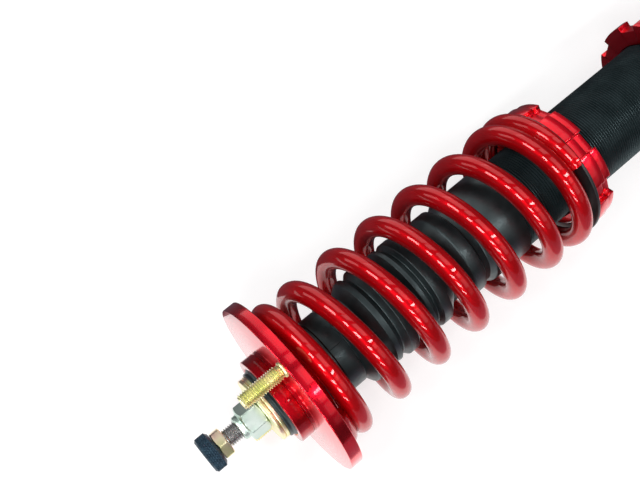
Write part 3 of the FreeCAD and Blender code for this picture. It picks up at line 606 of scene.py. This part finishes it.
def parting_ridge(radius, bottom, top):
    """Fine moulding ridge down both sides of the boot's collar."""
    half, height = 0.3, 0.45
    vertices, faces = [], []
    for side in range(2):
        angle = math.radians(-9) + math.pi * side
        outward = Vector((math.cos(angle), math.sin(angle), 0))
        across = Vector((-outward.y, outward.x, 0))
        first = len(vertices)
        for level in (bottom, top):
            for offset, reach in ((-half, 0), (half, 0), (0, height)):
                vertices.append(outward * (radius + reach) + across * offset + Vector((0, 0, level)))
        for corners in ((0, 1, 4, 3), (1, 2, 5, 4), (2, 0, 3, 5), (0, 2, 1), (3, 4, 5)):
            faces.append(tuple(first + corner for corner in corners))
    return make_object("boot_parting_ridge", vertices, faces, 20)


# Tube, rings and seats


def body_tube():
    """Tube with its M50 x 1.5 thread."""
    bottom, top = low("threaded_tube"), high("threaded_tube")
    bore, edge = 22.0, 0.4
    lining = [(bore + edge, top), (bore, top - edge), (bore, bottom + edge), (bore + edge, bottom)]
    piece = threaded("body_tube", radius_of("threaded_tube"), 1.5, bottom, top, 1.7, lining, 96)
    finish_piece(piece, "black_coated_steel", "damper_body", "threaded_tube")


def slotted_outline(outer, slots, width, depth, first_angle, fillet):
    """Outline of a ring with spanner slots, as rounded corners and arcs, counter-clockwise."""
    half = width / 2
    edge = math.asin(half / outer)
    shoulder = outer * math.cos(edge)
    lead = edge + 0.03          # a little way along the arc from a slot's corner
    arc_steps = 10
    corners = [(outer * math.cos(lead), -outer * math.sin(lead), 0), (shoulder, -half, fillet),
               (outer - depth, -half, fillet * 1.6), (outer - depth, half, fillet * 1.6),
               (shoulder, half, fillet), (outer * math.cos(lead), outer * math.sin(lead), 0)]
    bent = [Vector(point) for point in rounded(corners)]
    points = []
    for slot in range(slots):
        middle = first_angle + TURN * slot / slots
        turn = Matrix.Rotation(middle, 2)
        points += [turn @ point for point in bent]
        arc = TURN / slots - 2 * lead
        for step in range(1, arc_steps):
            angle = middle + lead + arc * step / arc_steps
            points.append(Vector((outer * math.cos(angle), outer * math.sin(angle))))
    return points


def inset(points, distance):
    """A closed outline moved inwards."""
    count = len(points)
    moved = []
    for index, point in enumerate(points):
        along = points[(index + 1) % count] - points[index - 1]
        moved.append(point + Vector((-along.y, along.x)).normalized() * distance)
    return moved


SLOTS = 8
SLOT_WIDTH = 11.0
SLOT_DEPTH = 3.5
RING_EDGE = 0.5             # broken edge of a slotted ring
BORE_CHAMFER = 0.8


def slotted_ring(name, inner, outer, bottom, top, first_angle, step=None):
    """A ring with spanner slots and broken edges. step, (radius, level), adds a collar on its upper face."""
    outline = slotted_outline(outer, SLOTS, SLOT_WIDTH, SLOT_DEPTH, first_angle, 0.7)
    near = RING_EDGE * 0.3
    levels = [(RING_EDGE, bottom), (near, bottom + near), (0, bottom + RING_EDGE),
              (0, top - RING_EDGE), (near, top - near), (RING_EDGE, top)]
    rings = [[(point.x, point.y, level) for point in inset(outline, distance)] for distance, level in levels]
    radial = []
    peak = top
    if step:
        collar, peak = step
        radial = [(collar + 0.01, top), (collar, top + 0.01), (collar, peak - BORE_CHAMFER),
                  (collar - BORE_CHAMFER, peak)]
    radial += [(inner + BORE_CHAMFER, peak), (inner, peak - BORE_CHAMFER), (inner, bottom + BORE_CHAMFER),
               (inner + BORE_CHAMFER, bottom)]
    directions = [point.normalized() for point in outline]
    for radius, level in radial:
        rings.append([(direction.x * radius, direction.y * radius, level) for direction in directions])
    vertices = [corner for ring_points in rings for corner in ring_points]
    faces = grid_faces(len(rings), len(outline), True)
    return make_object(name, vertices, faces, 35)


def spring_seat():
    """Thrust ring, perch collar and the two lock rings."""
    upper, lower = math.radians(33), math.radians(10)       # direction of a slot
    bore = radius_of("threaded_tube") + 0.05
    lock_radius = 37.5
    collar = slotted_ring("perch_collar_ring", bore, lock_radius + 1, low("perch_collar"),
                          low("spring_isolator"), upper, step=(30.4, high("perch_collar")))
    finish_piece(collar, "red_anodised", "perch_collar", "perch_collar")
    locks = (("perch_lock", "perch_lock_ring", upper), ("bracket_lock", "lower_lock_ring", lower))
    for name, node, first_angle in locks:
        lock = slotted_ring(name, bore, lock_radius, low(node), high(node), first_angle)
        finish_piece(lock, "red_anodised", node, node)
    inner, outer = 30.5, radius_of("spring_isolator")
    bottom, top = low("spring_isolator"), high("spring_isolator")
    isolator = turned("thrust_ring", [
        (inner, bottom, 0.2), (outer, bottom, 0.5), (outer, top, 0.5), (inner, top, 0.2)])
    finish_piece(isolator, "black_plastic", "spring_seat", "spring_isolator")


# Top mount

HUB_GROOVE = 24.2           # radius
STUD_HEAD = 6.2             # radius
STUD_HEAD_HEIGHT = 2.5
STUD_SHOULDER = 4.2         # radius
STUD_SHOULDER_RISE = 0.9    # above the plate
WEB_LOW, WEB_HIGH = 2.2, 7.2    # the web between the two bushes, above the plate's underside
BUSH_BORE = 7.6             # radius
STEM_HOLE = 5.1             # radius, in the washers
NUT_ACROSS = 17.4
HOUSING_ACROSS = 14.2
KNOB_BORE = 1.6             # radius, in the knob and its housing


def cut_holes(piece, holes):
    """Drill holes, each (x, radius, bottom, top), and keep the mesh."""
    for number, (across, radius, bottom, top) in enumerate(holes):
        cutter = lathe(f"drill_{number}", [(0, bottom), (radius, bottom), (radius, top), (0, top)], False, 48)
        cutter.location.x = across * MM
        tool = piece.modifiers.new("drill", "BOOLEAN")
        tool.operation = "DIFFERENCE"
        tool.solver = "EXACT"
        tool.object = cutter
        bpy.context.view_layer.update()
        evaluated = piece.evaluated_get(bpy.context.evaluated_depsgraph_get())
        mesh = bpy.data.meshes.new_from_object(evaluated)
        piece.modifiers.clear()
        piece.data = mesh
        bpy.data.objects.remove(cutter)
    piece.data.set_sharp_from_angle(angle=math.radians(30))


def top_mount():
    """Hub and plate, turned and polished, with two stud holes."""
    bottom = low("mount_studs")
    plate_top = bottom + PLATE_THICKNESS
    web_low, web_high = bottom + WEB_LOW, bottom + WEB_HIGH
    foot, hub_top = low("top_mount"), high("top_mount")
    plate = radius_of("top_mount")
    piece = turned("mount_plate", [
        (20.4, foot, 0.3), (30.4, foot, 0.8), (30.4, bottom, 0.3), (plate, bottom, 0.6),
        (plate, plate_top, 0.6),
        (HUB_RADIUS, plate_top, 0.15), (HUB_RADIUS, plate_top + 1.6, 0.2), (HUB_GROOVE, plate_top + 1.8, 0.1),
        (HUB_GROOVE, plate_top + 2.1, 0.1), (HUB_RADIUS, plate_top + 2.3, 0.25), (HUB_RADIUS, hub_top, 0.6),
        (21.4, hub_top, 0.3), (20.5, hub_top - 1.0, 0.2), (20.45, web_high, 0.3), (11, web_high, 0.3),
        (11, web_low, 0.3), (20.45, web_low, 0.3),
    ], 192, 30)
    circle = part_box("mount_studs")[1].x / MM - STUD_HEAD
    holes = []
    for side in (-1, 1):
        holes.append((side * circle, STUD_SHOULDER + 0.03, bottom - 2, plate_top + 2))
        holes.append((side * circle, STUD_HEAD + 0.1, bottom - 2, bottom + STUD_HEAD_HEIGHT))
    cut_holes(piece, holes)
    finish_piece(piece, "red_anodised", "top_mount", "top_mount")
    studs(circle)


def studs(circle):
    """Two plated M8 x 1.25 studs with sunk heads below the plate and plain shoulders through it."""
    bottom, top = low("mount_studs"), high("mount_studs")
    shoulder = bottom + PLATE_THICKNESS + STUD_SHOULDER_RISE
    face = bottom + 0.15
    head_top = bottom + STUD_HEAD_HEIGHT
    thread_foot = shoulder + 0.8
    shank = [(0.01, top), (0.01, face), (STUD_HEAD - 0.3, face), (STUD_HEAD, face + 0.3),
             (STUD_HEAD, head_top), (STUD_SHOULDER, head_top), (STUD_SHOULDER, shoulder - 0.3),
             (3.9, shoulder), (3.4, shoulder + 0.2), (3.4, shoulder + 0.6), (3.1, thread_foot)]
    for number, side in enumerate((1, -1)):
        stud = threaded(f"mount_stud_{number + 1}", 4.0, 1.25, thread_foot, top, 0.9, shank, 64)
        stud.location.x = side * circle * MM
        finish_piece(stud, "yellow_zinc", "top_mount")
        if number == 0:
            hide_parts("mount_studs")


def bushes():
    """Upper rubber bush with its rounded rim."""
    bottom, top = low("bush_upper"), high("bush_upper")
    piece = turned("rubber_bush_upper", [
        (BUSH_BORE, bottom, 0), (10.9, bottom, 0.3), (10.9, bottom + 2.4, 0.3), (20.35, bottom + 2.4, 0.5),
        (20.35, top - 2.6, 0.8), (19.3, top - 1.6, 0.6), (19.3, top, 0.5), (BUSH_BORE, top, 0.3),
    ], 144)
    finish_piece(piece, "black_rubber", "top_mount", "bush_upper")


def washers():
    """Two plated washers under the lock nut."""
    for node in ("bush_washer_upper", "nut_washer"):
        bottom, top = low(node), high(node)
        outer = radius_of(node)
        piece = turned(f"{node}_plated", [
            (STEM_HOLE, bottom, 0.2), (outer, bottom, 0.55), (outer, top, 0.8), (STEM_HOLE, top, 0.3)])
        finish_piece(piece, "yellow_zinc", "piston_rod", node)


def hexagon_rows(across, levels, start=0.0, columns=180):
    """Rings of a hexagonal bar with slightly round corners. levels holds (height, chamfer radius) pairs."""
    angles = np.arange(columns) * TURN / columns
    folded = (angles - start + TURN / 12) % (TURN / 6) - TURN / 12
    corner = across / math.sqrt(3) - 0.12
    flat = np.minimum(across / 2 / np.cos(folded), corner)
    return [ring(np.minimum(flat, limit), level, columns) for level, limit in levels]


def chamfered(bottom, top, face_radius, drop, steps=6):
    """Levels of a hexagon whose corners are chamfered at 30 degrees at both ends."""
    slope = math.tan(math.radians(60))
    reaches = [drop * step / steps for step in range(steps + 1)]
    lower = [(bottom + reach, face_radius + slope * reach) for reach in reaches]
    upper = [(top - reach, face_radius + slope * reach) for reach in reversed(reaches)]
    return lower + upper


def hex_piece(name, rows, closing, columns=180):
    """A hexagonal piece: its side rows and then a turned outline that closes it."""
    rows += [ring(radius, level, columns) for radius, level in closing]
    return make_object(name, np.vstack(rows), grid_faces(len(rows), columns, True), 22)


def lock_nut():
    """Nyloc nut: hexagon with a round collar crimped over its nylon ring."""
    bottom, top = low("lock_nut"), high("lock_nut")
    shoulder = bottom + 10.7
    levels = chamfered(bottom, shoulder, NUT_ACROSS / 2 * 0.96, 1.0)
    rows = hexagon_rows(NUT_ACROSS, levels, math.radians(-17))
    closing = [(7.3, shoulder + 0.1), (6.75, shoulder + 0.5), (6.65, shoulder + 1.0), (6.65, top - 1.0),
               (6.4, top - 0.35), (5.9, top - 0.05), (5.5, top), (5.45, top - 0.7), (4.98, top - 0.75),
               (4.98, bottom + 0.5), (5.5, bottom)]
    finish_piece(hex_piece("nyloc_nut", rows, closing), "bright_zinc", "piston_rod", "lock_nut")


def adjuster():
    """Hexagonal housing, knurled knob and the threaded stem below them."""
    bottom, top = low("adjuster_housing"), high("adjuster_housing")
    face = high("piston_rod")
    levels = chamfered(face, top, HOUSING_ACROSS / 2 * 0.97, 0.6)
    rows = hexagon_rows(HOUSING_ACROSS, levels, math.radians(13))
    closing = [(5.6, top), (5.6, top - 0.3), (KNOB_BORE, top - 0.3), (KNOB_BORE, bottom), (3.38, bottom),
               (3.38, face - 0.1), (4.3, face - 0.1), (4.5, face)]
    housing = hex_piece("adjuster_hexagon", rows, closing)
    finish_piece(housing, "yellow_zinc", "piston_rod", "adjuster_housing")
    knob()
    stem()


def knurl(outer, bottom, top, teeth=36, steps=24, columns=288):
    """Rows of a fine knurl: two sets of grooves that lean opposite ways and cross."""
    angles = np.arange(columns) * TURN / columns
    rows = []
    for step in range(steps + 1):
        rise = (top - bottom) * step / steps
        waves = []
        for sign in (-1, 1):
            phase = (teeth * angles / TURN + sign * rise * 0.486) % 1
            waves.append(np.abs(phase - 0.5) * 2)
        groove = np.clip((np.maximum(*waves) - 0.45) / 0.55, 0, 1)
        rows.append(ring(outer - 0.42 * groove, bottom + rise, columns))
    return rows


def knob():
    """Knob with a fine crossed knurl between two chamfers, and a shallow dish on its face."""
    bottom, top = low("adjuster_knob"), high("adjuster_knob")
    outer = radius_of("adjuster_knob")
    columns = 288
    dish = top - 0.35
    foot = [(KNOB_BORE, bottom), (outer - 1.7, bottom), (outer - 0.35, bottom + 1.1)]
    closing = [(outer - 0.4, top - 0.75), (outer - 1.0, top - 0.1), (outer - 1.3, top), (outer - 2.6, top),
               (outer - 3.0, dish), (0.01, dish), (0.01, bottom + 5), (KNOB_BORE, bottom + 5)]
    rows = [ring(radius, level, columns) for radius, level in foot]
    rows += knurl(outer, bottom + 1.3, top - 0.9, columns=columns)
    rows += [ring(radius, level, columns) for radius, level in closing]
    piece = make_object("knurled_knob", np.vstack(rows), grid_faces(len(rows), columns, True), 30)
    finish_piece(piece, "knob_black", "adjuster_knob", "adjuster_knob")


def stem():
    """Threaded stem of the rod, M10 x 1.25, and the chromed rod below it."""
    bottom, top = low("piston_rod"), high("piston_rod")
    foot = low("rebound_shims") + 1.6           # where the rod steps down to its piston
    shoulder = low("bush_washer_lower")
    neck = shoulder + 2
    bore = 2.6
    socket = top - 10                           # depth of the wider bore for the adjuster's housing
    closing = [(3.4, top), (3.4, socket), (bore, socket), (bore, shoulder), (4.2, shoulder), (4.2, neck)]
    upper = threaded("rod_stem", 4.93, 1.25, neck, top, 0.7, closing, 64)
    finish_piece(upper, "plain_steel", "piston_rod", "piston_rod")
    rod = turned("chromed_rod", [
        (bore, bottom, 0), (4.0, bottom, 0.4), (4.0, foot, 0), (6.25, foot, 0.3), (6.25, shoulder, 0.4),
        (bore, shoulder, 0),
    ], 96)
    finish_piece(rod, "hard_chrome", "piston_rod")


# Stage, light and camera

LIGHT_DISTANCE = 0.95       # metres from the strut
LAMP_LEAN, LAMP_HEIGHT = 30, 0.25       # degrees towards the knob, metres
PANEL_LEAN, PANEL_HEIGHT = -20, 0.64
# Cards on the table: shade, then the reach along the strut and to its side, in millimetres from its middle.
CARDS = ((0.07, (-260, 110), (5, 345)), (0.07, (110, 250), (66, 345)), (0.30, (-260, 250), (-300, -100)))
# Lamps and panels: swing from the near side in degrees, width in metres, radiance.
LAMPS = ((-88, 0.40, 1.5), (-48, 0.30, 9), (-18, 0.13, 13), (4, 0.18, 15), (30, 0.10, 15), (46, 0.12, 15),
         (62, 0.06, 14))
PANELS = ((-96, 0.90, 0.95), (-55, 0.58, 1.25), (-29, 0.18, 1.4), (-5, 0.36, 1.2), (16, 0.055, 20),
          (26, 0.12, 1.0), (40, 0.26, 0.75), (56, 0.16, 0.3))


def view_axes():
    """The row frame's axes as the camera sees them: right, down and ahead."""
    along = Vector((math.cos(RISE) * math.cos(LEAN), -math.sin(RISE) * math.cos(LEAN), math.sin(LEAN)))
    across = Vector((math.sin(RISE), math.cos(RISE), 0))
    facing = across.cross(along)
    x_axis = facing * math.cos(STUD_TURN) + across * math.sin(STUD_TURN)
    z_axis = -along
    y_axis = z_axis.cross(x_axis)
    return x_axis, y_axis, z_axis


def place_camera():
    """A camera at the photograph's viewing angle."""
    axes = view_axes()
    along = -axes[2]
    origin = AXIS_POINT + along * AXIS_POINT_LEVEL
    location = Vector([-origin.dot(axis) for axis in axes]) * MM
    right, down, ahead = [Vector([axis[index] for axis in axes]) for index in range(3)]
    data = bpy.data.cameras.new("camera")
    data.sensor_width = SENSOR
    data.lens = LENS
    data.clip_start = 0.01
    camera = bpy.data.objects.new("camera", data)
    bpy.context.scene.collection.objects.link(camera)
    turn = Matrix((right, -down, -ahead)).transposed()
    camera.matrix_world = Matrix.Translation(location) @ turn.to_4x4()
    bpy.context.scene.camera = camera
    return location


def flat_stage(name, centre, along, side, reach, material):
    """A flat rectangle on the stage. reach is (start, end) along and (start, end) to the side."""
    (start, end), (near, far) = reach
    places = ((start, near), (end, near), (end, far), (start, far))
    corners = [centre + along * forward + side * sideways for forward, sideways in places]
    mesh = bpy.data.meshes.new(name)
    mesh.from_pydata([corner * MM for corner in corners], [], [(0, 1, 2, 3)])
    piece = bpy.data.objects.new(name, mesh)
    bpy.context.scene.collection.objects.link(piece)
    if mesh.polygons[0].normal.x < 0:
        mesh.flip_normals()
    mesh.materials.append(material)
    return piece


def table_white():
    """White table that glows a little. Its underside is clear, so it hides nothing from below."""
    material, nodes, links, shader = new_material("table_white", (0.4, 0.4, 0.4), 0.0, 0.5)
    shader.inputs["Emission Color"].default_value = (1, 1, 1, 1)
    shader.inputs["Emission Strength"].default_value = 0.66
    clear = nodes.new("ShaderNodeBsdfTransparent")
    mix = nodes.new("ShaderNodeMixShader")
    geometry = nodes.new("ShaderNodeNewGeometry")
    links.new(geometry.outputs["Backfacing"], mix.inputs["Fac"])
    links.new(shader.outputs["BSDF"], mix.inputs[1])
    links.new(clear.outputs["BSDF"], mix.inputs[2])
    links.new(mix.outputs["Shader"], nodes["Material Output"].inputs["Surface"])
    return material


def floor():
    """Pale table that touches the mount plate and the lower lock ring. Its cards show only in reflections."""
    first = Vector((-radius_of("top_mount"), 0, low("mount_studs")))
    second = Vector((-radius_of("lower_lock_ring"), 0, low("lower_lock_ring")))
    along = (first - second).normalized()
    side = Vector((0, 1, 0))
    normal = side.cross(along)
    middle = (first + second) / 2
    flat_stage("table_top", middle - normal * 0.4, along, side, ((-800, 900), (-300, 345)), table_white())
    for number, (shade, *reach) in enumerate(CARDS):
        grey = new_material(f"card_{number}", (shade, shade * 0.75, shade), 0.0, 0.9)[0]
        card = flat_stage(f"card_{number}", middle + normal * 1.5, along, side, reach, grey)
        card.visible_camera = False
        card.visible_shadow = False
        card.visible_diffuse = False


def area_light(name, location, target, width, height, power):
    """A rectangular light aimed at a point. Its width runs round the damper's axis."""
    data = bpy.data.lights.new(name, "AREA")
    data.shape = "RECTANGLE"
    data.size = width
    data.size_y = height
    data.energy = power
    light = bpy.data.objects.new(name, data)
    bpy.context.scene.collection.objects.link(light)
    back = (location - target).normalized()
    up = Vector((0, 0, 1)) - back * back.z
    up.normalize()
    side = up.cross(back)
    turn = Matrix((side, up, back)).transposed()
    light.matrix_world = Matrix.Translation(location) @ turn.to_4x4()


def ring_light(name, swing, lean, width, height, radiance):
    """A light on a circle round the strut: swing about the axis from the near side, then lean to the knob."""
    middle = Vector((0, 0, (low("spring") + high("spring")) / 2 * MM))
    angle = STUD_TURN - math.radians(swing)
    outward = Vector((math.cos(angle), math.sin(angle), 0))
    tilt = math.radians(lean)
    place = middle + (outward * math.cos(tilt) + Vector((0, 0, 1)) * math.sin(tilt)) * LIGHT_DISTANCE
    area_light(name, place, middle, width, height, radiance * math.pi * width * height)


def lights():
    """Soft studio light: a row of small lamps, low panels that the turned rings mirror, and a dim room."""
    for number, (swing, width, radiance) in enumerate(LAMPS):
        ring_light(f"lamp_{number}", swing, LAMP_LEAN, width, LAMP_HEIGHT, radiance)
    for number, (swing, width, radiance) in enumerate(PANELS):
        ring_light(f"panel_{number}", swing, PANEL_LEAN, width, PANEL_HEIGHT, radiance)
    world = bpy.data.worlds.new("room")
    bpy.context.scene.world = world
    world.use_nodes = True
    background = world.node_tree.nodes["Background"]
    background.inputs["Color"].default_value = (0.90, 0.96, 1.0, 1)
    background.inputs["Strength"].default_value = 0.08
    bpy.context.scene.view_settings.view_transform = "Standard"


finish_cad_nodes()
spring()
dust_boot()
body_tube()
spring_seat()
top_mount()
bushes()
washers()
lock_nut()
adjuster()
place_camera()
floor()
lights()
